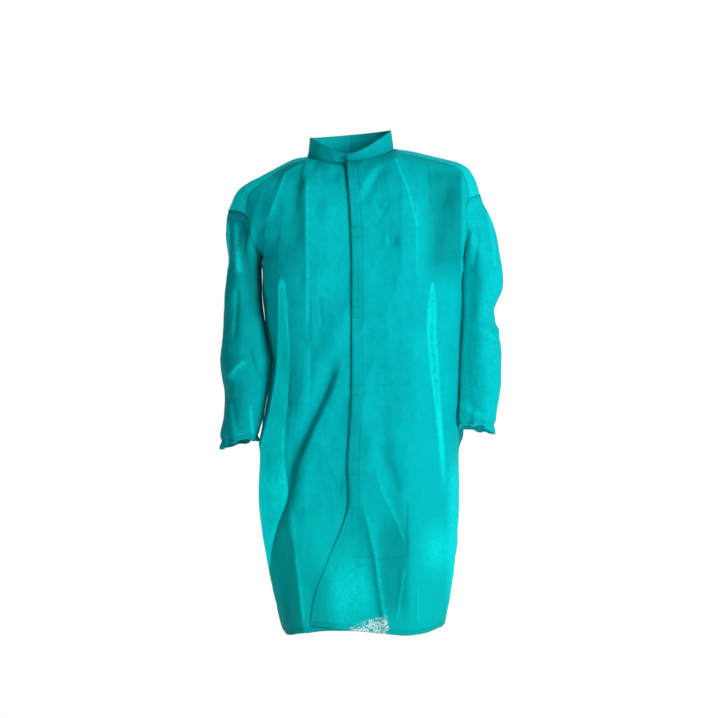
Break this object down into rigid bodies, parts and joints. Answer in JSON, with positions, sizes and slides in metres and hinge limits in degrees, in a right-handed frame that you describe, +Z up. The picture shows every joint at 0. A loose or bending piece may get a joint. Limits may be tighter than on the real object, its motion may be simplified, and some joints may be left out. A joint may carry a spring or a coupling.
{
  "type": "lab coat",
  "caption": "Disposable non-woven lab coat with stand collar, dropped shoulders, elastic cuffs and an overlapping front held by touch-and-close patches",
  "frame": {"origin": "middle of the neck opening at the height of the shoulders' resting line", "axes": "+Z up along the coat, -Y to the front closure, +X to the wearer's left"},
  "size_m": [0.634, 0.288, 1.1313],
  "materials": {
    "cloth": "matte",
    "facing": "matte",
    "hook_tape": "satin",
    "loop_tape": "matte",
    "elastic": "matte"
  },
  "bodies": {
    "coat_body": {"back_panel": "cloth", "left_front_side": "cloth", "right_front_side": "cloth", "collar_back": "cloth"},
    "left_front": {"left_front_flap": "cloth", "left_facing": "facing", "left_collar_end": "cloth", "hook_patch_1": "hook_tape", "hook_patch_2": "hook_tape", "hook_patch_3": "hook_tape", "hook_patch_4": "hook_tape", "hook_patch_5": "hook_tape"},
    "right_front": {"right_front_flap": "cloth", "right_facing": "facing", "right_collar_end": "cloth", "loop_patch_1": "loop_tape", "loop_patch_2": "loop_tape", "loop_patch_3": "loop_tape", "loop_patch_4": "loop_tape", "loop_patch_5": "loop_tape"},
    "left_arm": {"left_sleeve": "cloth", "left_cuff_elastic": "elastic"},
    "right_arm": {"right_sleeve": "cloth", "right_cuff_elastic": "elastic"}
  },
  "joints": [
    {"name": "left_front_open", "type": "hinge", "parent": "coat_body", "child": "left_front", "pos_m": [0.095, -0.135, -0.55], "axis": [0, 0, 1], "range_deg": [0, 110]},
    {"name": "right_front_open", "type": "hinge", "parent": "coat_body", "child": "right_front", "pos_m": [-0.095, -0.129, -0.55], "axis": [0, 0, -1], "range_deg": [0, 27.5]},
    {"name": "left_sleeve_raise", "type": "hinge", "parent": "coat_body", "child": "left_arm", "pos_m": [0.286, 0, -0.094], "axis": [0, -1, 0], "range_deg": [0, 85]},
    {"name": "right_sleeve_raise", "type": "hinge", "parent": "coat_body", "child": "right_arm", "pos_m": [-0.28, 0, -0.129], "axis": [0, 1, 0], "range_deg": [0, 85]}
  ],
  "couplings": [
    {"joint": "right_front_open", "follows": "left_front_open", "ratio": 0.25}
  ]
}
